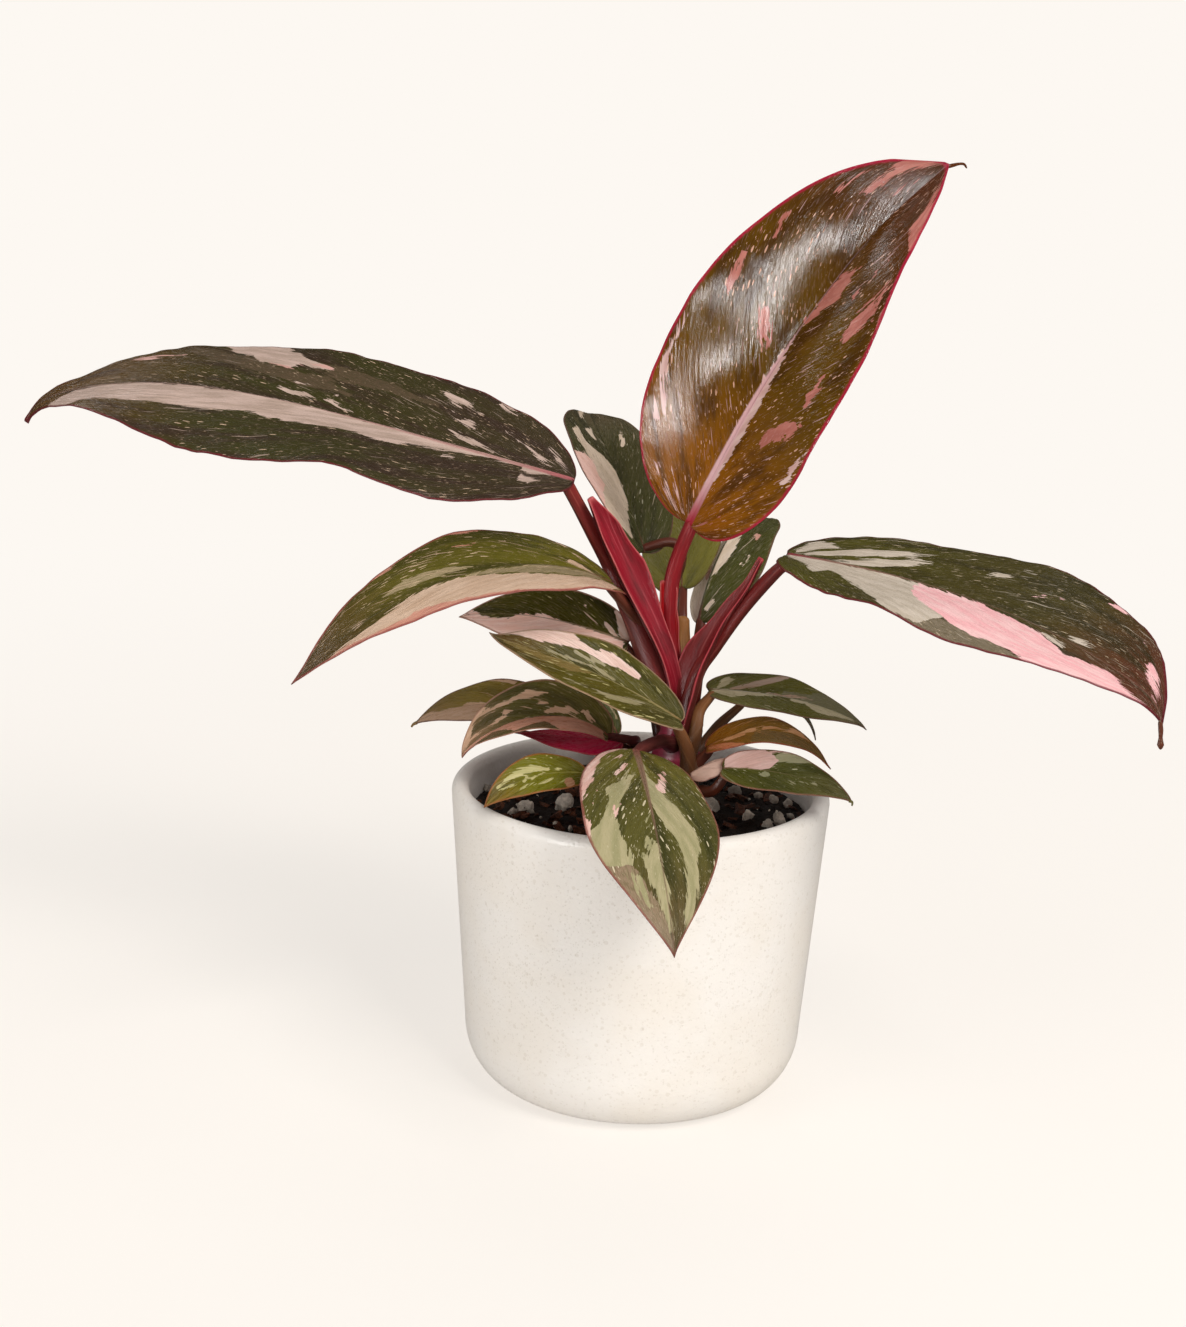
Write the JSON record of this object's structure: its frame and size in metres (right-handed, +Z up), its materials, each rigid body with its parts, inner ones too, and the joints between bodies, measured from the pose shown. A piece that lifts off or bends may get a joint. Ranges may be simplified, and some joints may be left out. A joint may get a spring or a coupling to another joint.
{
  "type": "potted pink princess philodendron",
  "caption": "Young pink princess philodendron in a round pot: arching pointed leaves with pink patches, on winged red stalks over dark bark soil.",
  "frame": {"origin": "centre of the pot's flat underside, on the surface that the pot stands on", "axes": "+Z up; -Y towards the viewer in the picture; +X to that viewer's right"},
  "size_m": [0.2263, 0.1385, 0.1931],
  "materials": {
    "pot_glaze": "satin",
    "soil_mix": "matte",
    "crimson_stem": "satin",
    "rust_stem": "satin",
    "bronze_leaf": "satin",
    "dark_leaf": "satin",
    "olive_leaf": "satin",
    "sage_leaf": "satin",
    "amber_leaf": "satin",
    "pink_leaf": "satin",
    "wine_leaf": "satin"
  },
  "bodies": {
    "root": {"pot": "pot_glaze", "soil": "soil_mix", "shoot_main": "crimson_stem", "shoot_left": "rust_stem", "shoot_right": "rust_stem", "shoot_front_left": "rust_stem", "leaf_top_bronze": "bronze_leaf", "leaf_long_left": "dark_leaf", "leaf_long_right": "dark_leaf", "leaf_mid_left": "olive_leaf", "leaf_front": "sage_leaf", "leaf_rear_left": "dark_leaf", "leaf_rear": "olive_leaf", "leaf_rear_right": "sage_leaf", "leaf_low_left": "olive_leaf", "leaf_striped_left": "sage_leaf", "leaf_curled_left": "pink_leaf", "leaf_outer_left": "olive_leaf", "leaf_small_left": "olive_leaf", "leaf_hooked_left": "amber_leaf", "leaf_wine_left": "wine_leaf", "leaf_striped_small": "sage_leaf", "leaf_upper_right": "sage_leaf", "leaf_amber_right": "amber_leaf", "leaf_small_right": "olive_leaf", "leaf_cupped_right": "pink_leaf", "leaf_back_right": "sage_leaf"}
  },
  "joints": []
}
